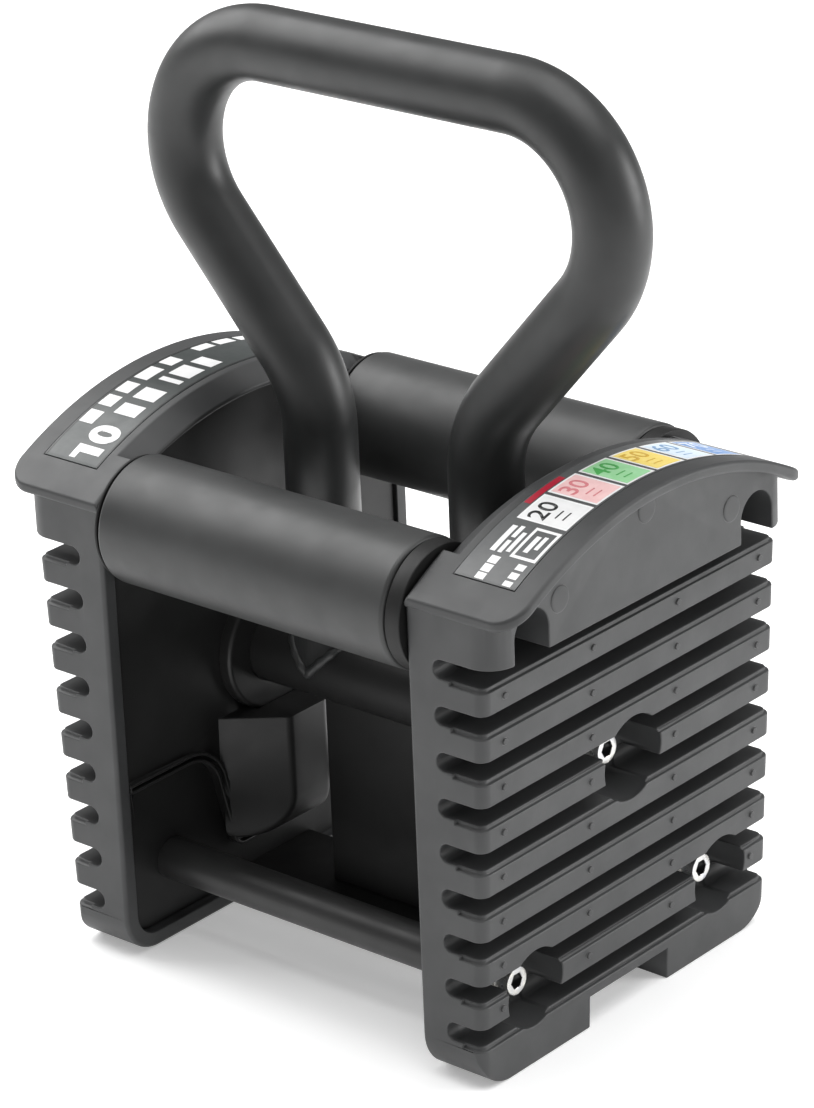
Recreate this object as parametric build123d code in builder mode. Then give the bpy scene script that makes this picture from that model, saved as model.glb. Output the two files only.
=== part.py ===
"""Block kettlebell: two ribbed end covers, a bell handle on a centre tube, and two turning sleeves.

+Z is up, X runs from the left end to the right end, and Y from front to back.
The origin is on the floor, midway between the ends. All sizes are in millimetres.
"""
from build123d import *
import math
import os

os.makedirs("parts", exist_ok=True)

# ---- end covers
inner_gap = 132.0            # clear distance between the two covers
cover_depth = 155.0          # front to back
foot_thickness = 24.4        # cover thickness at the floor
outer_draft = 2.55           # lean of the ribbed face, degrees
crown_rise = 47.2            # top of the crown above the bottom of the top groove
crown_sag = 22.2             # its drop from the middle to the front and rear faces
crown_rounding = 2.0         # rounded inner edge of the crown
relief_width = 7.6           # sloped relief along the middle of that edge
relief_depth = 5.2
relief_length = 118.0
cap_thickness = 4.0
cap_overhang = 0.5           # cap past the front and rear faces
cap_lip = 10.9               # cap past the ribbed face at the crown
cap_corner = 10.0            # its rounded corners, seen from above
cap_rounding = 1.5
brow_lip = 4.8               # block under the cap, past the ribbed face at its foot
brow_corner = 10.0
foot_corner = 15.0           # rounded lower corners of the covers
upright_corner = 4.0         # rounded upright corners of the ribs
inner_corner = 1.5           # rounded edge all round the inner face
notch_width = 42.0           # notch in the middle of the foot
notch_height = 11.5

# ---- grooves for the rails of the added weights
groove_count = 9
groove_pitch = 16.0
groove_height = 6.6
lowest_groove = 16.6         # bottom of the lowest groove
groove_web = 10.5            # from a groove's floor to the inner face of the cover
rib_step = 1.3               # small rebate round the top outer edge of each rib

# ---- steel plates and liners inside the covers
rim_width = 5.6              # solid rim of the cover around its pocket
pocket_arch = 2.8            # extra drop of the pocket's top below the cap
cover_wall = 3.0             # moulding left between pocket and groove floor
plate_thickness = 4.0
liner_thickness = 2.0
pocket_clearance = 0.3
crown_hollow_depth = 14.0
crown_hollow_width = 80.0
crown_hollow_height = 16.8
liner_rise = 33.1            # lower edge of the liner above the lower rods, front and back
liner_corner = 0.5
tab_width = 42.0             # middle tab of the liner
tab_drop = 6.9               # its lower edge below the lower rods
tab_flare = 10.0
tab_corner = 5.0
knee_radius = 15.0
bead = 1.1                   # each of the two ridges along the liner's lower edge
bead_gap = 1.2               # channel between them
bead_height = 2.0
bracket_base = 50.0          # tapered bracket under the centre tube: width at the liner
bracket_nose_width = 19.0
bracket_reach = 19.5
bracket_top_drop = 20.4      # its flat top below the centre tube's axis
bracket_face = 29.5          # height of its upright nose
bracket_rounding = 4.0

# ---- tubes, rods and sleeves
handle_diameter = 25.4
handle_wall = 3.0
weld_gap = 0.05
sleeve_diameter = 44.2
sleeve_wall = 3.2
sleeve_rounding = 1.5
sleeve_inset = 18.5          # sleeve axes in from the front and rear faces
sleeve_rise = 14.3           # and above the bottom of the top groove
axle_diameter = 18.0
axle_wall = 2.0
disc_thickness = 6.0         # right-hand disc of each sleeve
thin_disc = 1.2              # left-hand disc
disc_step = 0.6              # disc smaller than the sleeve all round
disc_gap = 0.2               # between disc and cover
sleeve_gap = 0.6             # between sleeve and disc
bush_width = 12.0
running_clearance = 0.06
push_clearance = 0.05
rod_diameter = 14.7
rod_inset = 27.5
collar_diameter = 46.0
collar_thickness = 5.0
collar_rounding = 1.5
plug_length = 22.0

# ---- web and strap under the centre tube
web_width = 72.8
web_thickness = 8.0
strap_width = 42.0
strap_thickness = 3.0
strap_top_drop = 17.9        # top of the strap below the lower rods' axes

# ---- bell handle: corner points of its centre line
leg_inset = 30.0             # legs in from the covers
leg_bend_rise = 2.2          # lower bends above the crown
leg_bend_radius = 42.0
shoulder_reach = 101.0       # upper corners out from the legs
shoulder_radius = 38.7
grip_rise = 117.8            # grip above the crown

# ---- M6 socket-head screws
screw_diameter = 6.0
screw_length = 24.0
head_diameter = 10.0
head_height = 6.0
socket_size = 5.0            # across the flats
socket_depth = 3.0
hole_clearance = 0.3
thread_clearance = 0.05
tapped_depth = 20.0
washer_diameter = 13.0
washer_thickness = 1.2
centre_recess = 30.0
lower_recess = 28.0
upper_recess = 17.0

# ---- labels on the crowns
label_margin = 11.0          # in from the cover's inner face
label_edge = 8.8             # in from the cap's outer edge
label_end = 11.5             # in from the front and rear faces
label_thickness = 0.5
label_clearance = 0.1

# ---- places worked out from the sizes above
inner_face = inner_gap / 2
half_depth = cover_depth / 2
foot_face = inner_face + foot_thickness
lean = math.tan(math.radians(outer_draft))
groove_floor = inner_face + groove_web
pocket_floor = groove_floor - cover_wall
plate_face = pocket_floor - plate_thickness
liner_face = plate_face - liner_thickness
groove_bottoms = [lowest_groove + groove_pitch * i for i in range(groove_count)]
top_groove = groove_bottoms[-1]
crown_top = top_groove + crown_rise
crown_radius = (half_depth**2 + crown_sag**2) / (2 * crown_sag)
crown_centre = crown_top - crown_radius
crown_axis = Axis((0, 0, crown_centre), (1, 0, 0))
cap_face = foot_face + lean * crown_top + cap_lip
brow_foot = top_groove + groove_height / 2
brow_root = foot_face + lean * brow_foot


def rib_centre(i):
    """Middle height of the rib above groove i, counted up from the floor."""
    return groove_bottoms[i] + (groove_height + groove_pitch) / 2


centre_height = rib_centre(groove_count // 2)
rod_height = rib_centre(0)
rod_offset = half_depth - rod_inset
sleeve_height = top_groove + sleeve_rise
sleeve_offset = half_depth - sleeve_inset
leg_offset = inner_face - leg_inset
leg_bend_height = crown_top + leg_bend_rise
shoulder_corner = leg_offset + shoulder_reach
grip_height = crown_top + grip_rise
washer_face = groove_floor + washer_thickness
disc_face = inner_face - disc_gap
sleeve_start = thin_disc + sleeve_gap - disc_face
sleeve_end = disc_face - disc_thickness - sleeve_gap
tube_radius = handle_diameter / 2
axle_radius = axle_diameter / 2
sleeve_bore = sleeve_diameter / 2 - sleeve_wall
screw_hole = screw_diameter / 2 + hole_clearance
tapped_hole = screw_diameter / 2 + thread_clearance
centre_fixings = [(0, centre_height)]
lower_fixings = [(-rod_offset, rod_height), (rod_offset, rod_height)]
upper_fixings = [(-sleeve_offset, sleeve_height), (sleeve_offset, sleeve_height)]
all_fixings = centre_fixings + lower_fixings + upper_fixings


def end_plane(x):
    """The plane across X at x: a sketch on it has Y to its right and Z up."""
    return Plane(origin=(x, 0, 0), x_dir=(0, 1, 0), z_dir=(1, 0, 0))


def crown_height(y, drop=0.0):
    """Height of the crown's curve at y, or of one that lies a drop below it."""
    return crown_centre + math.sqrt((crown_radius - drop) ** 2 - y**2)


def arched_outline(inset, drop, corner, foot=0.0):
    """Front-to-back outline of a cover, inset from its sides, with its top a drop below the crown."""
    side = half_depth - inset
    rise = crown_height(side, drop)
    with BuildSketch() as outline:
        with BuildLine():
            Polyline((-side, rise), (-side, foot), (side, foot), (side, rise))
            ThreePointArc((-side, rise), (0, crown_height(0, drop)), (side, rise))
        make_face()
        fillet(outline.vertices().group_by(Axis.Y)[0], corner)
    return outline.sketch


def crown_band(half_length, top_drop, bottom_drop):
    """A strip that follows the crown's curve, seen from the end."""
    with BuildSketch() as band:
        with BuildLine():
            ThreePointArc(
                (-half_length, crown_height(half_length, top_drop)),
                (0, crown_height(0, top_drop)),
                (half_length, crown_height(half_length, top_drop)),
            )
            Line(
                (half_length, crown_height(half_length, top_drop)),
                (half_length, crown_height(half_length, bottom_drop)),
            )
            ThreePointArc(
                (half_length, crown_height(half_length, bottom_drop)),
                (0, crown_height(0, bottom_drop)),
                (-half_length, crown_height(half_length, bottom_drop)),
            )
            Line(
                (-half_length, crown_height(half_length, bottom_drop)),
                (-half_length, crown_height(half_length, top_drop)),
            )
        make_face()
    return band.sketch


def save(piece, name):
    piece.part.label = name
    export_step(piece.part, "parts/" + name + ".step")


def save_pair(piece, name):
    """Write a right-hand piece and its mirror image as two nodes."""
    with BuildPart() as mirrored:
        add(piece.part.mirror(Plane.YZ))
    save(piece, "right_" + name)
    save(mirrored, "left_" + name)


def save_both_ends(piece, name):
    """Write right-hand pieces and their mirror images as one node."""
    with BuildPart() as both:
        add(piece.part)
        add(piece.part.mirror(Plane.YZ))
    save(both, name)


# ---- end cover: a ribbed moulding under an arched cap, with a seat for its label
label_inner = inner_face + label_margin
label_width = cap_face - label_edge - label_inner
label_half = half_depth - label_end


def plan_outline(face, half_length, corner):
    """A cover seen from above, out to a face with rounded corners."""
    with BuildSketch() as plan:
        with Locations((inner_face, 0)):
            Rectangle(face - inner_face, 2 * half_length, align=(Align.MIN, Align.CENTER))
        fillet(plan.vertices().group_by(Axis.X)[-1], corner)
    return plan.sketch


cap_half = half_depth + cap_overhang

with BuildPart() as cap:
    with BuildSketch():
        add(plan_outline(cap_face, cap_half, cap_corner))
    extrude(amount=crown_top)
    with BuildSketch(end_plane(inner_face)):
        add(crown_band(cap_half, 0, cap_thickness))
    extrude(amount=cap_face - inner_face, mode=Mode.INTERSECT)
    outlines = cap.faces().sort_by(SortBy.AREA)[-2:].edges()
    fillet(outlines.filter_by(lambda edge: edge.center().X > inner_face + cap_corner), cap_rounding)

with BuildPart() as crown_relief:
    with BuildSketch(Plane.XZ):
        Polygon(
            (inner_face - relief_width, crown_top - 2 * relief_depth),
            (inner_face + relief_width, crown_top),
            (inner_face + relief_width, crown_top + relief_depth),
            (inner_face - relief_width, crown_top + relief_depth),
            align=None,
        )
    revolve(axis=crown_axis)
    with BuildSketch():
        with Locations((inner_face, 0)):
            RectangleRounded(4 * relief_width, relief_length, relief_width)
    extrude(amount=crown_top + relief_depth, mode=Mode.INTERSECT)

with BuildPart() as brow:
    with BuildSketch(Plane.XY.offset(brow_foot)):
        add(plan_outline(brow_root + brow_lip, half_depth, brow_corner))
    extrude(amount=crown_top - brow_foot)

with BuildPart() as end_cover:
    with BuildSketch(Plane.XZ):
        Polygon(
            (inner_face, 0),
            (foot_face, 0),
            (brow_root, brow_foot),
            (inner_face, brow_foot),
            align=None,
        )
    extrude(amount=half_depth, both=True)
    ribbed_face = end_cover.faces().sort_by(Axis.X)[-1]
    fillet(ribbed_face.edges().filter_by(Axis.Y, reverse=True), upright_corner)
    add(brow.part)
    with BuildSketch(end_plane(0)):
        add(arched_outline(0, cap_thickness / 2, foot_corner))
    extrude(amount=cap_face, mode=Mode.INTERSECT)
    fillet(end_cover.edges().filter_by(Axis.Z).group_by(Axis.X)[0], inner_corner)
    add(cap.part)
    with BuildSketch(Plane.XZ):
        with Locations((inner_face, crown_top)):
            Rectangle(2 * crown_rounding, 2 * crown_rounding)
        with Locations((inner_face + crown_rounding, crown_top - crown_rounding)):
            Circle(crown_rounding, mode=Mode.SUBTRACT)
    revolve(axis=crown_axis, mode=Mode.SUBTRACT)
    add(crown_relief.part, mode=Mode.SUBTRACT)
    # grooves with round floors, and the rebate above each rib
    with BuildSketch(Plane.XZ):
        for bottom in groove_bottoms:
            with Locations((groove_floor + cap_face / 2, bottom + groove_height / 2)):
                SlotOverall(cap_face, groove_height)
    extrude(amount=half_depth, both=True, mode=Mode.SUBTRACT)
    for bottom in groove_bottoms:
        with BuildSketch(Plane.XY.offset(bottom)):
            with Locations((groove_floor + groove_height, 0)):
                Rectangle(cap_face, 2 * cap_half, align=(Align.MIN, Align.CENTER))
            rib_face = foot_face + lean * bottom
            kept = plan_outline(rib_face - rib_step, half_depth - rib_step, upright_corner - rib_step)
            add(kept, mode=Mode.SUBTRACT)
        extrude(amount=-rib_step, mode=Mode.SUBTRACT)
    # recesses around the five fixings, and their screw holes
    with BuildSketch(end_plane(groove_floor)):
        with Locations(*centre_fixings):
            Circle(centre_recess / 2)
        with Locations(*lower_fixings):
            Circle(lower_recess / 2)
        with Locations(*upper_fixings):
            Circle(upper_recess / 2)
            Rectangle(upper_recess, sleeve_height - top_groove, align=(Align.CENTER, Align.MAX))
    extrude(amount=cap_face - groove_floor, mode=Mode.SUBTRACT)
    with BuildSketch(end_plane(pocket_floor)):
        with Locations(*all_fixings):
            Circle(screw_hole)
    extrude(amount=cover_wall, mode=Mode.SUBTRACT)
    # pocket for plate and liner, and the hollow of the crown behind them
    with BuildSketch(end_plane(inner_face)):
        add(arched_outline(rim_width, cap_thickness + pocket_arch, foot_corner - rim_width, rim_width))
    extrude(amount=pocket_floor - inner_face, mode=Mode.SUBTRACT)
    with BuildSketch(end_plane(pocket_floor)):
        hollow_drop = cap_thickness + rim_width
        add(crown_band(crown_hollow_width / 2, hollow_drop, hollow_drop + crown_hollow_height))
    extrude(amount=crown_hollow_depth, mode=Mode.SUBTRACT)
    # foot notch and label seat
    with BuildSketch(end_plane(groove_floor)):
        Rectangle(notch_width, 2 * notch_height)
    extrude(amount=cap_face, mode=Mode.SUBTRACT)
    with BuildSketch(end_plane(label_inner - label_clearance)):
        add(crown_band(label_half + label_clearance, 0, label_thickness + label_clearance))
    extrude(amount=label_width + 2 * label_clearance, mode=Mode.SUBTRACT)
save_pair(end_cover, "end_cover")

# ---- steel end plate in the pocket
plate_inset = rim_width + pocket_clearance
plate_drop = cap_thickness + pocket_arch + pocket_clearance
plate_corner = foot_corner - plate_inset
with BuildPart() as end_plate:
    with BuildSketch(end_plane(plate_face)):
        add(arched_outline(plate_inset, plate_drop, plate_corner, plate_inset))
        with Locations(*all_fixings):
            Circle(screw_hole, mode=Mode.SUBTRACT)
    extrude(amount=plate_thickness)
save_pair(end_plate, "end_plate")

# ---- liner over the plate, with its rolled lower edge and the bracket under the centre tube
liner_side = half_depth - plate_inset
tab_half = tab_width / 2
tab_foot = rod_height - tab_drop
bead_band = 2 * bead + bead_gap
bracket_top = centre_height - bracket_top_drop
bracket_foot = tab_foot + bead_band
bracket_nose = liner_face - bracket_reach


def liner_edge(lift=0.0):
    """Lower edge of the liner as a closed region above it, raised by lift."""
    knee = tab_half + tab_flare
    shoulder = rod_height + liner_rise + lift
    foot = tab_foot + lift
    top = crown_height(liner_side, plate_drop)
    with BuildSketch() as region:
        with BuildLine():
            FilletPolyline(
                (-liner_side, top),
                (-liner_side, shoulder),
                (-knee + lift, shoulder),
                (-tab_half + lift, foot),
                (tab_half - lift, foot),
                (knee - lift, shoulder),
                (liner_side, shoulder),
                (liner_side, top),
                radius=[liner_corner, knee_radius + lift, tab_corner - lift]
                + [tab_corner - lift, knee_radius + lift, liner_corner],
            )
            ThreePointArc((-liner_side, top), (0, crown_height(0, plate_drop)), (liner_side, top))
        make_face()
    return region.sketch


with BuildPart() as bracket:
    with BuildSketch(Plane.XZ):
        with BuildLine():
            Line((liner_face, bracket_foot), (liner_face, bracket_top))
            Line((liner_face, bracket_top), (bracket_nose, bracket_top))
            Line((bracket_nose, bracket_top), (bracket_nose, bracket_top - bracket_face))
            TangentArc(
                (bracket_nose, bracket_top - bracket_face),
                (liner_face, bracket_foot),
                tangent=(0, -1),
            )
        make_face()
    extrude(amount=bracket_base / 2, both=True)
    with BuildSketch(Plane.XY.offset(bracket_foot)):
        Polygon(
            (liner_face, -bracket_base / 2),
            (bracket_nose, -bracket_nose_width / 2),
            (bracket_nose, bracket_nose_width / 2),
            (liner_face, bracket_base / 2),
            align=None,
        )
    extrude(amount=bracket_top - bracket_foot, mode=Mode.INTERSECT)
    fillet(bracket.edges().filter_by(Axis.Z).group_by(Axis.X)[0], bracket_rounding)

with BuildPart() as liner:
    with BuildSketch(end_plane(liner_face)):
        add(liner_edge())
    extrude(amount=liner_thickness)
    add(bracket.part)
    for lift in (0, bead + bead_gap):
        with BuildSketch(end_plane(liner_face - bead_height)):
            add(liner_edge(lift))
            add(liner_edge(lift + bead), mode=Mode.SUBTRACT)
        extrude(amount=bead_height)
    with BuildSketch(end_plane(liner_face - collar_thickness - pocket_clearance)):
        with Locations(*centre_fixings):
            Circle(collar_diameter / 2 + pocket_clearance)
    extrude(amount=collar_thickness + pocket_clearance, mode=Mode.SUBTRACT)
    with BuildSketch(end_plane(0)):
        with Locations(*centre_fixings):
            Circle(tube_radius + hole_clearance)
        with Locations(*upper_fixings):
            Circle(axle_radius + hole_clearance)
    extrude(amount=plate_face, mode=Mode.SUBTRACT)
save_pair(liner, "liner")

# ---- centre tube, its collars and its threaded plugs
with BuildPart() as centre_tube:
    with BuildSketch(end_plane(-plate_face)):
        with Locations(*centre_fixings):
            Circle(tube_radius)
            Circle(tube_radius - handle_wall, mode=Mode.SUBTRACT)
    extrude(amount=2 * plate_face)
save(centre_tube, "centre_tube")

with BuildPart() as centre_collar:
    with BuildSketch(end_plane(liner_face - collar_thickness)):
        with Locations(*centre_fixings):
            Circle(collar_diameter / 2)
            Circle(tube_radius + push_clearance, mode=Mode.SUBTRACT)
    extrude(amount=collar_thickness)
    fillet(centre_collar.edges().group_by(Axis.X)[0].sort_by(SortBy.RADIUS)[-1], collar_rounding)
save_both_ends(centre_collar, "centre_tube_collars")


def plug(places, radius):
    """Threaded plugs that sit flush in the right-hand ends of the tubes at these places."""
    with BuildPart() as plugs:
        with BuildSketch(end_plane(plate_face - plug_length)):
            with Locations(*places):
                Circle(radius - push_clearance)
                Circle(tapped_hole, mode=Mode.SUBTRACT)
        extrude(amount=plug_length)
    return plugs


save_both_ends(plug(centre_fixings, tube_radius - handle_wall), "centre_tube_plugs")

# ---- web under the centre tube, on a strap that ties the end plates together near the floor
strap_top = rod_height - strap_top_drop
with BuildPart() as centre_web:
    with BuildSketch(Plane.XZ):
        with Locations((0, strap_top)):
            Rectangle(web_width, centre_height - strap_top, align=(Align.CENTER, Align.MIN))
    extrude(amount=web_thickness / 2, both=True)
    with BuildSketch(end_plane(-plate_face)):
        with Locations(*centre_fixings):
            Circle(tube_radius + weld_gap)
    extrude(amount=2 * plate_face, mode=Mode.SUBTRACT)
save(centre_web, "centre_web")

with BuildPart() as base_strap:
    with BuildSketch(Plane.XY.offset(strap_top - strap_thickness)):
        Rectangle(2 * plate_face, strap_width)
    extrude(amount=strap_thickness)
save(base_strap, "base_strap")

# ---- bell handle: one bent tube, coped and welded onto the centre tube
with BuildPart() as bell_handle:
    with BuildLine(Plane.XZ) as centre_line:
        FilletPolyline(
            (-leg_offset, centre_height),
            (-leg_offset, leg_bend_height),
            (-shoulder_corner, grip_height),
            (shoulder_corner, grip_height),
            (leg_offset, leg_bend_height),
            (leg_offset, centre_height),
            radius=[leg_bend_radius, shoulder_radius, shoulder_radius, leg_bend_radius],
        )
    with BuildSketch(Plane(origin=centre_line.line @ 0, z_dir=centre_line.line % 0)):
        Circle(tube_radius)
        Circle(tube_radius - handle_wall, mode=Mode.SUBTRACT)
    sweep()
    with BuildSketch(end_plane(-plate_face)):
        with Locations(*centre_fixings):
            Circle(tube_radius + weld_gap)
    extrude(amount=2 * plate_face, mode=Mode.SUBTRACT)
save(bell_handle, "bell_handle")

# ---- upper axles with their plugs, discs, bushes and sleeves; lower rods
for side, y in (("front", -sleeve_offset), ("rear", sleeve_offset)):
    place = (y, sleeve_height)
    with BuildPart() as axle:
        with BuildSketch(end_plane(-plate_face)):
            with Locations(place):
                Circle(axle_radius)
                Circle(axle_radius - axle_wall, mode=Mode.SUBTRACT)
        extrude(amount=2 * plate_face)
    save(axle, side + "_axle")

    with BuildPart() as discs:
        for start, thickness in ((-disc_face, thin_disc), (disc_face - disc_thickness, disc_thickness)):
            with BuildSketch(end_plane(start)):
                with Locations(place):
                    Circle(sleeve_diameter / 2 - disc_step)
                    Circle(axle_radius + push_clearance, mode=Mode.SUBTRACT)
            extrude(amount=thickness)
    save(discs, side + "_end_discs")

    with BuildPart() as bushes:
        for start in (sleeve_start, sleeve_end - bush_width):
            with BuildSketch(end_plane(start)):
                with Locations(place):
                    Circle(sleeve_bore - push_clearance)
                    Circle(axle_radius + running_clearance, mode=Mode.SUBTRACT)
            extrude(amount=bush_width)
    save(bushes, side + "_sleeve_bushes")

    with BuildPart() as sleeve:
        with BuildSketch(end_plane(sleeve_start)):
            with Locations(place):
                Circle(sleeve_diameter / 2)
                Circle(sleeve_bore, mode=Mode.SUBTRACT)
        extrude(amount=sleeve_end - sleeve_start)
        outer_ends = sleeve.edges().filter_by(GeomType.CIRCLE).group_by(SortBy.RADIUS)[-1]
        fillet(outer_ends, sleeve_rounding)
    save(sleeve, side + "_sleeve")

for side, place in zip(("front", "rear"), lower_fixings):
    with BuildPart() as rod:
        with BuildSketch(end_plane(-plate_face)):
            with Locations(place):
                Circle(rod_diameter / 2)
        extrude(amount=2 * plate_face)
        for start in (-plate_face, plate_face - tapped_depth):
            with BuildSketch(end_plane(start)):
                with Locations(place):
                    Circle(tapped_hole)
            extrude(amount=tapped_depth, mode=Mode.SUBTRACT)
    save(rod, side + "_lower_rod")

save_both_ends(plug(upper_fixings, axle_radius - axle_wall), "axle_plugs")


# ---- screws and washers, one group for each kind of fixing
def screws(places):
    with BuildPart() as group:
        with BuildSketch(end_plane(washer_face)):
            with Locations(*places):
                Circle(head_diameter / 2)
        extrude(amount=head_height)
        with BuildSketch(end_plane(washer_face - screw_length)):
            with Locations(*places):
                Circle(screw_diameter / 2)
        extrude(amount=screw_length)
        with BuildSketch(end_plane(washer_face + head_height - socket_depth)):
            with Locations(*places):
                RegularPolygon(socket_size / 2, 6, major_radius=False)
        extrude(amount=socket_depth, mode=Mode.SUBTRACT)
    return group


def washers(places):
    with BuildPart() as group:
        with BuildSketch(end_plane(groove_floor)):
            with Locations(*places):
                Circle(washer_diameter / 2)
                Circle(screw_hole, mode=Mode.SUBTRACT)
        extrude(amount=washer_thickness)
    return group


for kind, places in (("centre", centre_fixings), ("lower", lower_fixings), ("upper", upper_fixings)):
    save_both_ends(screws(places), kind + "_screws")
    save_both_ends(washers(places), kind + "_washers")

# ---- labels, thin curved strips in their seats on the crowns
with BuildPart() as crown_label:
    with BuildSketch(end_plane(label_inner)):
        add(crown_band(label_half, 0, label_thickness))
    extrude(amount=label_width)
save_pair(crown_label, "crown_label")
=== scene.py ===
"""Block kettlebell, made the way it is put together.

A bent handle is welded to a centre tube between two ribbed end covers. Two sleeves
turn on axles near the top, and two rods tie the covers together near the floor.
Lengths are in metres, X from the left cover to the right, Y from front to back, Z up.
"""
import math

import bmesh
import bpy
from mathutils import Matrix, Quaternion, Vector


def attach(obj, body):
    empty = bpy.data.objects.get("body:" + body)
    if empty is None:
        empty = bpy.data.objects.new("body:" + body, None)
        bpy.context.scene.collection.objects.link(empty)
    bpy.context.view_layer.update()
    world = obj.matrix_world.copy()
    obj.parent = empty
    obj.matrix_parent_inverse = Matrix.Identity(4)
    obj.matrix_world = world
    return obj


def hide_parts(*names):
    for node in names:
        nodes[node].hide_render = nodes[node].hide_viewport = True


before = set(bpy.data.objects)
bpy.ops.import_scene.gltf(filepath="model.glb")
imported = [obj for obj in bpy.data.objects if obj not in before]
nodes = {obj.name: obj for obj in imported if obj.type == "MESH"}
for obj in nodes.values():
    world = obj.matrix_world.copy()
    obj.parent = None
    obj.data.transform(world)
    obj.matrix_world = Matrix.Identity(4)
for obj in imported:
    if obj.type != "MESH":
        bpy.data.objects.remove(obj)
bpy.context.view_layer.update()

# ---- Bell handle
# One steel tube, 25.4 mm thick, bent cold at four corners. Its legs are coped and welded
# onto the centre tube, and the satin black powder coat goes on after the welding.
tube_radius = 0.0127
centre_height = 0.0919
handle_corners = [(-0.036, 0.194), (-0.137, 0.3096), (0.137, 0.3096), (0.036, 0.194)]
handle_bends = [0.042, 0.0387, 0.0387, 0.042]


def new_finish(name):
    """An empty finish, its nodes and links, its shader and the place on the piece."""
    finish = bpy.data.materials.new(name)
    finish.use_nodes = True
    work, links = finish.node_tree.nodes, finish.node_tree.links
    place = work.new("ShaderNodeTexCoord").outputs["Object"]
    return finish, work, links, work["Principled BSDF"], place


def mottle(work, links, place, scale, detail=3.0):
    """Cloudy variation over the surface, in patches per metre."""
    noise = work.new("ShaderNodeTexNoise")
    noise.inputs["Scale"].default_value = scale
    noise.inputs["Detail"].default_value = detail
    noise.inputs["Roughness"].default_value = 0.55
    links.new(place, noise.inputs["Vector"])
    return noise.outputs["Fac"]


def between(work, links, value, low, high, start=0.3, end=0.7):
    """A colour or a grey that goes from low to high with the value."""
    stops = work.new("ShaderNodeValToRGB")
    stops.color_ramp.elements[0].position = start
    stops.color_ramp.elements[1].position = end
    for stop, shade in zip(stops.color_ramp.elements, (low, high)):
        stop.color = (*shade, 1) if isinstance(shade, tuple) else (shade, shade, shade, 1)
    links.new(value, stops.inputs["Fac"])
    return stops.outputs["Color"]


def rubbed_edges(work, links, place, width):
    """1 along outer edges, in uneven patches, and 0 on open ground."""
    rounded = work.new("ShaderNodeBevel")
    rounded.samples = 4
    rounded.inputs["Radius"].default_value = width
    ground = work.new("ShaderNodeNewGeometry")
    alike = work.new("ShaderNodeVectorMath")
    alike.operation = "DOT_PRODUCT"
    links.new(rounded.outputs["Normal"], alike.inputs[0])
    links.new(ground.outputs["Normal"], alike.inputs[1])
    edge = work.new("ShaderNodeMapRange")
    edge.inputs["From Min"].default_value = 0.995
    edge.inputs["From Max"].default_value = 0.85
    links.new(alike.outputs["Value"], edge.inputs["Value"])
    patchy = work.new("ShaderNodeMath")
    patchy.operation = "MULTIPLY"
    links.new(edge.outputs["Result"], patchy.inputs[0])
    links.new(between(work, links, mottle(work, links, place, 160.0, 5.0), 0.15, 0.9), patchy.inputs[1])
    return patchy.outputs["Value"]


def grain(work, links, shader, place, fineness, depth):
    """Fine raised grain of a coat or a mould."""
    bump = work.new("ShaderNodeBump")
    bump.inputs["Strength"].default_value = 0.25
    bump.inputs["Distance"].default_value = depth
    links.new(mottle(work, links, place, fineness, 2.0), bump.inputs["Height"])
    links.new(bump.outputs["Normal"], shader.inputs["Normal"])


def black_finish(name, deep, pale, rubbed, fineness, depth, gloss, shine=0.5, edge=0.0006):
    """A black or dark coat or moulding: cloudy, grained, unevenly glossy, paler on its edges."""
    finish, work, links, shader, place = new_finish(name)
    wear = work.new("ShaderNodeMix")
    wear.data_type = "RGBA"
    links.new(rubbed_edges(work, links, place, edge), wear.inputs["Factor"])
    links.new(between(work, links, mottle(work, links, place, 38.0, 4.0), deep, pale), wear.inputs["A"])
    wear.inputs["B"].default_value = (*rubbed, 1)
    links.new(wear.outputs["Result"], shader.inputs["Base Color"])
    uneven = between(work, links, mottle(work, links, place, 90.0, 5.0), gloss - 0.05, gloss + 0.06)
    links.new(uneven, shader.inputs["Roughness"])
    shader.inputs["Specular IOR Level"].default_value = shine
    grain(work, links, shader, place, fineness, depth)
    return finish


def new_piece(name, shape, finish, body="handle_block", stands_for=()):
    """Turn worked mesh into a piece of the object, in its finish and on its body."""
    bmesh.ops.recalc_face_normals(shape, faces=shape.faces)
    mesh = bpy.data.meshes.new(name)
    shape.to_mesh(mesh)
    shape.free()
    mesh.shade_smooth()
    mesh.materials.append(finish)
    piece = bpy.data.objects.new(name, mesh)
    bpy.context.collection.objects.link(piece)
    even = piece.modifiers.new("even_faces", "WEIGHTED_NORMAL")
    even.keep_sharp = True
    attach(piece, body)
    if stands_for:
        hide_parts(*stands_for)
    return piece


def bent_line(corners, bends, start, end, step=0.0022):
    """Points along straight runs joined by bends, in the XZ plane."""
    stops = [Vector((x, 0, z)) for x, z in [start, *corners, end]]
    line = [stops[0]]
    for before, corner, after, radius in zip(stops, stops[1:], stops[2:], bends):
        to_before, to_after = (before - corner).normalized(), (after - corner).normalized()
        half = to_before.angle(to_after) / 2
        centre = corner + (to_before + to_after).normalized() * radius / math.sin(half)
        first = corner + to_before * radius / math.tan(half)
        last = corner + to_after * radius / math.tan(half)
        parts = max(2, round(radius * (first - centre).angle(last - centre) / step))
        for i in range(parts + 1):
            line.append(centre + (first - centre).slerp(last - centre, i / parts) * radius)
    line.append(stops[-1])
    return line


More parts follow.
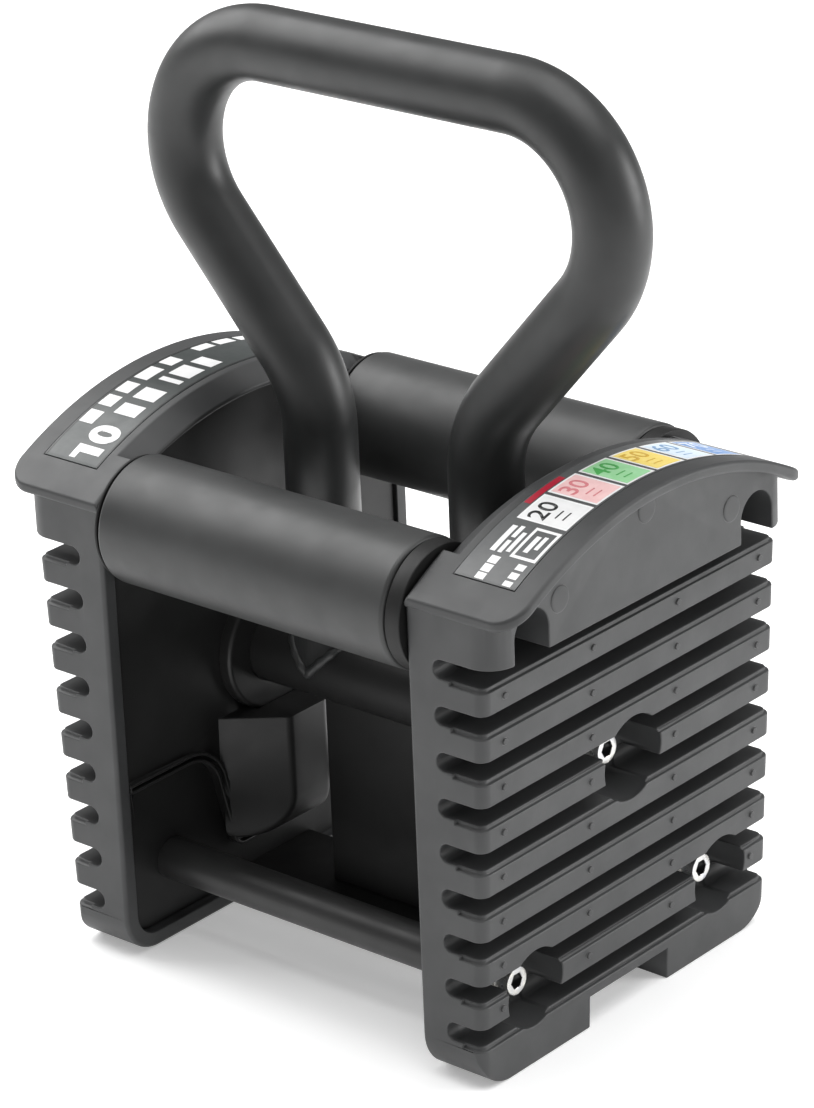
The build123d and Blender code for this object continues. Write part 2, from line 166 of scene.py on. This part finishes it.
def round_bar(shape, line, radius, sides, closed=False, across=Vector((0, 1, 0))):
    """A round bar along a line, closed on itself or capped at both ends."""
    rings = []
    last = len(line) - 1
    for i, point in enumerate(line):
        if closed:
            ahead = line[(i + 1) % len(line)] - line[i - 1]
        else:
            ahead = line[min(i + 1, last)] - line[max(i - 1, 0)]
        outward = ahead.cross(across).normalized()
        level = outward.cross(ahead).normalized()
        size = radius(i) if callable(radius) else radius
        rings.append([
            shape.verts.new(point + (level * math.cos(a) + outward * math.sin(a)) * size)
            for a in (math.tau * k / sides for k in range(sides))
        ])
    for ring, after in zip(rings, rings[1:] + rings[:1] if closed else rings[1:]):
        for k in range(sides):
            shape.faces.new((ring[k], ring[(k + 1) % sides], after[(k + 1) % sides], after[k]))
    if not closed:
        shape.faces.new(rings[0])
        shape.faces.new(rings[-1])


powder_coat = black_finish(
    "satin_powder_coat", (0.020, 0.021, 0.021), (0.030, 0.031, 0.031), (0.07, 0.07, 0.07),
    2600.0, 0.00004, 0.42,
)
shape = bmesh.new()
handle_line = bent_line(handle_corners, handle_bends, (-0.036, centre_height), (0.036, centre_height))
round_bar(shape, handle_line, tube_radius, 56)
new_piece("bent_bell_handle", shape, powder_coat, stands_for=["bell_handle"])

# ---- Weld beads
# Each leg is welded all round where it meets the centre tube. The beads show their
# ripples through the coat.
bead_radius, bead_ripple = 0.0017, 0.0002
shape = bmesh.new()
for leg, _ in (handle_corners[0], handle_corners[-1]):
    turns = [math.tau * k / 96 for k in range(96)]
    ring = [
        Vector((leg, 0, centre_height))
        + tube_radius * Vector((math.cos(a), math.sin(a), abs(math.cos(a))))
        for a in turns
    ]
    round_bar(
        shape, ring, lambda i: bead_radius + bead_ripple * math.sin(i * 1.3), 10,
        closed=True, across=Vector((0, 0, 1)),
    )
new_piece("leg_weld_beads", shape, powder_coat)

# ---- Centre tube, web and base strap
# The one inch centre tube carries the handle. A steel web is welded under it and
# stands on a strap that ties the two end plates together. All are coated black, and
# that coat is painted much darker than the handle's, as painted shade inside the block.


def softened(name, width, finish, body="handle_block", steep=30, extra=None):
    """A frame piece with its sharp outer edges broken, as a moulded, turned or coated part has."""
    shape = bmesh.new()
    shape.from_mesh(nodes[name].data)
    bmesh.ops.remove_doubles(shape, verts=shape.verts, dist=0.000002)
    bmesh.ops.dissolve_limit(shape, angle_limit=math.radians(0.5), verts=shape.verts, edges=shape.edges)
    bmesh.ops.triangulate(shape, faces=shape.faces[:])
    sharp = [e for e in shape.edges if e.is_convex and e.calc_face_angle() > math.radians(steep)]
    bmesh.ops.bevel(
        shape, geom=sharp, offset=width, segments=2, profile=0.5, affect="EDGES",
        clamp_overlap=False, miter_outer="ARC",
    )
    bmesh.ops.triangulate(shape, faces=[f for f in shape.faces if len(f.verts) > 4])
    if extra:
        extra(shape)
    return new_piece(name + "_finished", shape, finish, body, [name])


def dress(name, finish):
    """Give a piece of the frame its finish."""
    for slot in nodes[name].material_slots:
        slot.material = finish


# Painted shade: the handle's satin coat, made much darker for the shade inside the block.
painted_shade_coat = black_finish(
    "powder_coat_with_painted_shade", (0.008, 0.008, 0.008), (0.013, 0.013, 0.013), (0.03, 0.03, 0.03),
    2600.0, 0.00004, 0.5, 0.3,
)
dress("centre_tube", painted_shade_coat)
softened("centre_web", 0.0005, painted_shade_coat)
softened("base_strap", 0.0004, painted_shade_coat)

# ---- Threaded plugs
# Turned steel plugs, bright zinc plated, pressed into the ends of the centre tube and
# the axles to take the screws.


def zinc_plate(name, shine):
    """Bright zinc: pale metal with a faint yellow and blue cast and fine draw marks."""
    finish, work, links, shader, place = new_finish(name)
    cloud = mottle(work, links, place, 220.0, 4.0)
    cast = between(work, links, cloud, (0.62, 0.63, 0.66), (0.82, 0.80, 0.74))
    links.new(cast, shader.inputs["Base Color"])
    marks = mottle(work, links, place, 700.0, 4.0)
    links.new(between(work, links, marks, shine, shine + 0.2), shader.inputs["Roughness"])
    shader.inputs["Metallic"].default_value = 1.0
    grain(work, links, shader, place, 3000.0, 0.00002)
    return finish


zinc = zinc_plate("bright_zinc", 0.22)
dress("centre_tube_plugs", zinc)
dress("axle_plugs", zinc)

# ---- Axles, bushes, sleeves and end discs
# Zinc plated tube axles run from plate to plate. White bushes pressed into each smooth
# plastic sleeve let it turn, and black discs close its ends. The discs are painted darker
# still, as painted shade in the narrow gap between sleeve and cover.
white_bush = black_finish(
    "white_bush", (0.62, 0.61, 0.57), (0.72, 0.71, 0.67), (0.8, 0.79, 0.76), 1200.0, 0.00002, 0.42
)
sleeve_skin = black_finish(
    "smooth_sleeve", (0.030, 0.031, 0.031), (0.042, 0.043, 0.043), (0.07, 0.07, 0.07), 1500.0, 0.00002, 0.46
)
# Painted shade: the discs' black is deepened for the shade in the gap between sleeve and cover.
disc_black_painted_shade = black_finish(
    "disc_black_painted_shade", (0.006, 0.006, 0.006), (0.010, 0.010, 0.010), (0.02, 0.02, 0.02), 1500.0, 0.00002, 0.5, 0.3
)
for side in ("front", "rear"):
    dress(side + "_axle", zinc)
    dress(side + "_sleeve", sleeve_skin)
    dress(side + "_sleeve_bushes", white_bush)
    softened(side + "_end_discs", 0.0004, disc_black_painted_shade, steep=50)

# ---- Lower rods
# Two solid steel rods near the floor, drilled and tapped at both ends, coated satin black.
# The coat is painted a little darker than the handle's, as painted shade low in the block.
# Painted shade: the handle's satin coat, made a little darker for the shade near the floor.
painted_shade_rod_coat = black_finish(
    "rod_powder_coat_painted_shade", (0.016, 0.016, 0.016), (0.024, 0.024, 0.024), (0.05, 0.05, 0.05), 2600.0, 0.00004, 0.44
)
for side in ("front", "rear"):
    dress(side + "_lower_rod", painted_shade_rod_coat)

# ---- Steel end plates
# Flat 4 mm plates, cut to the shape of the covers and blacked. All tubes, rods and
# the strap end on them. Their black is painted darker still, as painted shade inside the block.
# Painted shade: a base colour far below black steel's, for the shade inside the block.
plate_black_painted_shade = black_finish(
    "plate_black_painted_shade", (0.008, 0.008, 0.008), (0.012, 0.012, 0.012), (0.03, 0.03, 0.03),
    1500.0, 0.00003, 0.45, 0.35,
)
for side in ("left", "right"):
    softened(side + "_end_plate", 0.0003, plate_black_painted_shade, steep=50)

# ---- Liners and tube collars
# Black mouldings that hide the plates, each with a rolled double edge and a tapered
# bracket under the centre tube. A collar round the tube closes its hole. Liners and
# collars are painted much darker than the covers, as painted shade inside the block.
# Painted shade: black moulding made far darker than the covers, for the shade inside the block.
liner_black_painted_shade = black_finish(
    "liner_black_painted_shade", (0.011, 0.011, 0.011), (0.017, 0.017, 0.017), (0.05, 0.05, 0.05),
    1300.0, 0.00003, 0.42, 0.4,
)
for side in ("left", "right"):
    softened(side + "_liner", 0.0004, liner_black_painted_shade, steep=40)
softened("centre_tube_collars", 0.0003, liner_black_painted_shade, steep=50)

# ---- End covers
# Injection moulded in tough black plastic with a fine spark texture. The ejector pins of
# the mould left small round pips on the ribs and larger pads on the wall under the cap.
foot_face = 0.0904
draft = math.radians(2.55)
rib_middles = [0.0279 + 0.016 * i for i in range(8)]
pip_places = [-0.067, -0.0223, 0.0223, 0.067]
pip_radius, pip_height = 0.0012, 0.0007
brow_face = 0.10179
pad_radius, pad_height = 0.0045, 0.00035
pad_places = [(0.0, 0.181), (-0.045, 0.166), (0.045, 0.166)]


def button(shape, centre, outward, radius, height, sides=20):
    """A low round pip with a domed edge, standing on a face."""
    outward = outward.normalized()
    level = outward.cross(Vector((0, 0, 1))).normalized()
    up = level.cross(outward)
    rings = []
    for reach, lift in ((1.0, -0.6), (1.0, 0.35), (0.9, 0.8), (0.72, 1.0)):
        rings.append([
            shape.verts.new(
                centre + (level * math.cos(a) + up * math.sin(a)) * radius * reach + outward * height * lift
            )
            for a in (math.tau * k / sides for k in range(sides))
        ])
    for ring, after in zip(rings, rings[1:]):
        for k in range(sides):
            shape.faces.new((ring[k], ring[(k + 1) % sides], after[(k + 1) % sides], after[k]))
    shape.faces.new(rings[0])
    shape.faces.new(rings[-1])


def mould_marks(way):
    """The pips and pads of one cover, on the side that way points to (1 right, -1 left)."""
    def add_marks(shape):
        out = Vector((way * math.cos(draft), 0, -math.sin(draft)))
        for z in rib_middles:
            for y in pip_places:
                spot = Vector((way * (foot_face + math.tan(draft) * z), y, z))
                button(shape, spot, out, pip_radius, pip_height)
        for y, z in pad_places:
            spot = Vector((way * brow_face, y, z))
            button(shape, spot, Vector((way, 0, 0)), pad_radius, pad_height, 36)
    return add_marks


cover_plastic = black_finish(
    "cover_plastic", (0.036, 0.037, 0.038), (0.048, 0.049, 0.050), (0.16, 0.16, 0.16), 1100.0, 0.00005, 0.5
)
for side, way in (("left", -1), ("right", 1)):
    softened(side + "_end_cover", 0.0005, cover_plastic, extra=mould_marks(way))

# ---- Crown labels
# Thin printed films let into the crowns. The left one is dark with a plain 10 and bars,
# the right one is a colour scale with plain numbers.
crown_top = 0.1918
crown_half, crown_sag = 0.0775, 0.0222
crown_radius = (crown_half**2 + crown_sag**2) / (2 * crown_sag)
label_inner, label_outer, label_half = 0.077, 0.101, 0.066
ink = (0.00002, 0.00006)
thick_ink = (0.00002, 0.00008)


def on_crown(x, y, lift):
    """The point of the crown over x and y, or lift above it."""
    turn = math.asin(y / crown_radius)
    reach = crown_radius + lift
    return Vector((x, reach * math.sin(turn), crown_top - crown_radius + reach * math.cos(turn)))


def crown_patch(shape, x0, x1, y0, y1, layer=ink):
    """A thin slab that follows the crown between two widths and two lengths, from foot to top."""
    bottom, top = layer
    parts = max(1, math.ceil(abs(y1 - y0) / 0.0015))
    rings = []
    for i in range(parts + 1):
        y = y0 + (y1 - y0) * i / parts
        corners = ((x0, bottom), (x1, bottom), (x1, top), (x0, top))
        rings.append([shape.verts.new(on_crown(x, y, lift)) for x, lift in corners])
    for ring, after in zip(rings, rings[1:]):
        for k in range(4):
            shape.faces.new((ring[k], ring[(k + 1) % 4], after[(k + 1) % 4], after[k]))
    shape.faces.new(rings[0])
    shape.faces.new(rings[-1])


def crown_figures(shape, text, size, foot_x, start_y, layer, bold=0.012):
    """Plain figures that read from front to back, their feet at foot_x."""
    bottom, top = layer
    words = bpy.data.curves.new("figures", "FONT")
    words.body = text
    words.size = size
    words.extrude = 0.5
    words.offset = bold * size
    holder = bpy.data.objects.new("figures", words)
    bpy.context.collection.objects.link(holder)
    flat = bpy.data.meshes.new_from_object(holder.evaluated_get(bpy.context.evaluated_depsgraph_get()))
    bpy.data.objects.remove(holder)
    cut = bmesh.new()
    cut.from_mesh(flat)
    bmesh.ops.remove_doubles(cut, verts=cut.verts, dist=size * 0.001)
    for i in range(1, 30):
        everything = cut.verts[:] + cut.edges[:] + cut.faces[:]
        bmesh.ops.bisect_plane(cut, geom=everything, plane_co=(0.0015 * i, 0, 0), plane_no=(1, 0, 0))
    copies = {}
    for v in cut.verts:
        lift = bottom + (v.co.z + 0.5) * (top - bottom)
        copies[v] = shape.verts.new(on_crown(foot_x - v.co.y, start_y + v.co.x, lift))
    for face in cut.faces:
        shape.faces.new([copies[v] for v in face.verts])
    cut.free()
    bpy.data.meshes.remove(flat)


def film(name, deep, pale, gloss=0.3):
    """Printed film: an even ink with a slight mottle, glossy, with a faint orange peel."""
    finish, work, links, shader, place = new_finish(name)
    cloud, peel = mottle(work, links, place, 300.0, 3.0), mottle(work, links, place, 120.0, 4.0)
    links.new(between(work, links, cloud, deep, pale), shader.inputs["Base Color"])
    links.new(between(work, links, peel, gloss, gloss + 0.12), shader.inputs["Roughness"])
    grain(work, links, shader, place, 900.0, 0.00001)
    return finish


def printed(name, finish, draw):
    """One colour of print on a crown."""
    shape = bmesh.new()
    draw(shape)
    new_piece(name, shape, finish)


white_ink = film("white_ink", (0.80, 0.80, 0.80), (0.86, 0.86, 0.86))
black_ink = film("black_ink", (0.012, 0.012, 0.012), (0.02, 0.02, 0.02))
film_thickness = 0.0005
for side, way, deep, pale in (
    ("left", -1, (0.036, 0.043, 0.042), (0.048, 0.055, 0.054)),
    ("right", 1, (0.072, 0.075, 0.076), (0.086, 0.089, 0.090)),
):
    shape = bmesh.new()
    crown_patch(shape, way * label_inner, way * label_outer, -label_half, label_half, (-film_thickness, 0))
    ground = film(side + "_film", deep, pale)
    new_piece(side + "_label_film", shape, ground, stands_for=[side + "_crown_label"])


def left_whites(shape):
    """The 1 as a stem and its flag, the 0, then two rows of bars and a last short row."""
    crown_patch(shape, -0.0912, -0.0800, -0.0618, -0.0586, thick_ink)
    crown_patch(shape, -0.0912, -0.0886, -0.0645, -0.0618, thick_ink)
    crown_figures(shape, "0", 0.0155, -0.0801, -0.0566, thick_ink, bold=0.05)
    outer_row = [(-0.05, 0.0065), (-0.0405, 0.006), (-0.032, 0.0065), (-0.0225, 0.009), (-0.01, 0.006)]
    inner_row = [(-0.0425, 0.006), (-0.033, 0.007), (-0.02, 0.0025), (-0.015, 0.008), (-0.004, 0.006)]
    last_row = [(0.006 + 0.0105 * i, 0.008) for i in range(5)]
    for x0, x1, row in ((-0.1, -0.094, outer_row), (-0.0908, -0.0812, inner_row), (-0.1, -0.0955, last_row)):
        for y, length in row:
            crown_patch(shape, x0, x1, y, y + length, thick_ink)


def left_blacks(shape):
    """A thin line along each long edge of the left film."""
    inset, line = 0.0004, 0.0006
    for x in (label_outer - 0.0008, label_inner + 0.0002):
        crown_patch(shape, -x - line, -x, -label_half + inset, label_half - inset)


printed("left_label_figures", white_ink, left_whites)
printed("left_label_border", black_ink, left_blacks)

cell_inner, cell_outer, cell_start = 0.0806, 0.1004, -0.0391
cell_length, cell_pitch, cell_border = 0.0142, 0.0157, 0.0008
colour_ink = (0.00006, 0.00009)
top_ink = (0.00009, 0.00012)
scale_cells = [
    ("white", "20", (0.74, 0.74, 0.74), (0.80, 0.80, 0.80), (0.010, 0.010, 0.010)),
    ("pink", "30", (0.80, 0.50, 0.50), (0.86, 0.58, 0.57), (0.62, 0.20, 0.22)),
    ("green", "40", (0.30, 0.66, 0.32), (0.38, 0.72, 0.40), (0.06, 0.38, 0.08)),
    ("yellow", "50", (0.86, 0.66, 0.14), (0.90, 0.72, 0.22), (0.60, 0.36, 0.02)),
    ("pale_blue", "60", (0.62, 0.72, 0.82), (0.68, 0.78, 0.86), (0.16, 0.30, 0.50)),
    ("blue", "70", (0.10, 0.24, 0.52), (0.14, 0.28, 0.58), (0.70, 0.74, 0.80)),
]


def right_whites(shape):
    """The white of each cell, the bars before them, an outlined block and its filling."""
    for k in range(len(scale_cells)):
        y = cell_start + cell_pitch * k
        crown_patch(shape, cell_inner, cell_outer, y, y + cell_length)
    for y, length in ((-0.0655, 0.0024), (-0.0626, 0.0030), (-0.0591, 0.0030)):
        crown_patch(shape, 0.0845, 0.0880, y, y + length)
        crown_patch(shape, 0.0955, 0.0988, y, y + length * 0.8)
    for x0, x1, y0, y1 in (
        (0.0820, 0.0840, -0.0545, -0.0425), (0.0850, 0.0866, -0.0545, -0.0490),
        (0.0850, 0.0866, -0.0475, -0.0420), (0.0876, 0.0892, -0.0535, -0.0445),
        (0.0903, 0.0914, -0.0550, -0.0410), (0.0993, 0.1004, -0.0550, -0.0410),
        (0.0914, 0.0993, -0.0550, -0.0539), (0.0914, 0.0993, -0.0421, -0.0410),
        (0.0932, 0.0950, -0.0520, -0.0445), (0.0960, 0.0975, -0.0500, -0.0440),
    ):
        crown_patch(shape, x0, x1, y0, y1)


printed("right_label_white_cells", white_ink, right_whites)
for k, (colour, number, deep, pale, dark) in enumerate(scale_cells):
    y = cell_start + cell_pitch * k

    def cell(shape):
        x0, x1 = cell_inner + cell_border, cell_outer - cell_border
        crown_patch(shape, x0, x1, y + cell_border, y + cell_length - cell_border, colour_ink)

    def figures(shape):
        crown_figures(shape, number, 0.0098, 0.0898, y + 0.0012, top_ink)
        for x in (0.0925, 0.0955):
            crown_patch(shape, x, x + 0.0006, y + 0.0040, y + 0.0085, top_ink)

    printed("scale_cell_" + colour, film(colour + "_ink", deep, pale), cell)
    figure_ink = film(colour + "_figure_ink", dark, tuple(c * 1.1 for c in dark))
    printed("scale_figures_" + colour, figure_ink, figures)


def red_line(shape):
    crown_patch(shape, 0.0775, 0.0800, -0.0315, -0.0135)


printed("red_edge_line", film("red_ink", (0.36, 0.010, 0.030), (0.42, 0.016, 0.040)), red_line)

# ---- Screws and washers
# M6 socket head screws with plain washers hold the covers on. Those in the sides are
# zinc plated, and the upper four, in their keyholes, are black oxide.
# Black oxide is the real finish of the upper screws, and it also serves as painted shade inside every socket.
black_oxide_and_socket_shade = black_finish(
    "black_oxide_and_socket_shade", (0.010, 0.010, 0.011), (0.016, 0.016, 0.017), (0.05, 0.05, 0.05), 900.0, 0.00002, 0.38
)
head_face = 0.0837
socket_reach, socket_edge, socket_depth = 0.0031, 0.0003, 0.0033


def fixings(kind, finish, axes):
    """One kind of screws with their washers; the insides of the sockets take the black oxide finish as
    painted shade in the recess.
    """
    piece = softened(kind + "_screws", 0.0003, finish, steep=25)
    # Painted shade: faces inside each socket get the dark black oxide finish, for the shade in the recess.
    piece.data.materials.append(black_oxide_and_socket_shade)
    for face in piece.data.polygons:
        spot = face.center
        inside = head_face - socket_depth < abs(spot.x) < head_face - socket_edge
        if inside and min(math.hypot(spot.y - y, spot.z - z) for y, z in axes) < socket_reach:
            face.material_index = 1
    dress(kind + "_washers", finish)


fixings("centre", zinc, [(0, centre_height)])
fixings("lower", zinc, [(-0.050, 0.0279), (0.050, 0.0279)])
fixings("upper", black_oxide_and_socket_shade, [(-0.059, 0.1589), (0.059, 0.1589)])

# ---- Floor
# A plain, nearly white paper sweep with a faint tooth, lit a little from below.
shape = bmesh.new()
bmesh.ops.create_grid(shape, x_segments=1, y_segments=1, size=6.0)
floor_mesh = bpy.data.meshes.new("floor")
shape.to_mesh(floor_mesh)
shape.free()
floor = bpy.data.objects.new("floor", floor_mesh)
bpy.context.collection.objects.link(floor)
paper, work, links, shader, place = new_finish("white_paper")
links.new(between(work, links, mottle(work, links, place, 4.0), 0.90, 0.93), shader.inputs["Base Color"])
links.new(between(work, links, mottle(work, links, place, 60.0), 0.65, 0.8), shader.inputs["Roughness"])
grain(work, links, shader, place, 900.0, 0.00002)
shader.inputs["Emission Color"].default_value = (1, 1, 1, 1)
shader.inputs["Emission Strength"].default_value = 0.3
floor_mesh.materials.append(paper)

# ---- Light
# A very broad soft light from above, a large soft key from the left, a low fill from
# the right and behind, and a dim white room.
room = bpy.data.worlds.new("studio")
room.use_nodes = True
room.node_tree.nodes["Background"].inputs["Color"].default_value = (1, 1, 1, 1)
room.node_tree.nodes["Background"].inputs["Strength"].default_value = 0.25
bpy.context.scene.world = room


def soft_light(name, spot, width, power, aim=(0, 0, 0.15)):
    lamp = bpy.data.lights.new(name, "AREA")
    lamp.shape = "DISK"
    lamp.size = width
    lamp.energy = power
    holder = bpy.data.objects.new(name, lamp)
    bpy.context.collection.objects.link(holder)
    holder.location = spot
    holder.rotation_euler = (Vector(spot) - Vector(aim)).to_track_quat("Z", "Y").to_euler()


sun = bpy.data.lights.new("broad_top_light", "SUN")
sun.energy = 2.3
sun.angle = math.radians(60)
top_light = bpy.data.objects.new("broad_top_light", sun)
bpy.context.collection.objects.link(top_light)
top_light.rotation_euler = Vector((0.1, 0.15, 1)).to_track_quat("Z", "Y").to_euler()
soft_light("left_key", (-1.15, -0.1, 1.2), 1.5, 24.0)
soft_light("right_fill", (1.0, 0.75, 0.5), 0.6, 8)

# ---- Camera
# Long lens, from the right and above, tilted a little.
target = Vector((0.0003, 0, 0.1411))
azimuth, elevation, roll = math.radians(41.11), math.radians(22.76), math.radians(-2.40)
distance = 1.484
level = math.cos(elevation)
back = Vector((math.sin(azimuth) * level, -math.cos(azimuth) * level, math.sin(elevation)))
lens = bpy.data.cameras.new("camera")
lens.sensor_fit = "HORIZONTAL"
lens.sensor_width = 36
lens.lens = 196.3
camera = bpy.data.objects.new("camera", lens)
bpy.context.collection.objects.link(camera)
camera.location = target + back * distance
camera.rotation_euler = (back.to_track_quat("Z", "Y") @ Quaternion((0, 0, 1), roll)).to_euler()
bpy.context.scene.camera = camera
bpy.context.scene.view_settings.view_transform = "Standard"
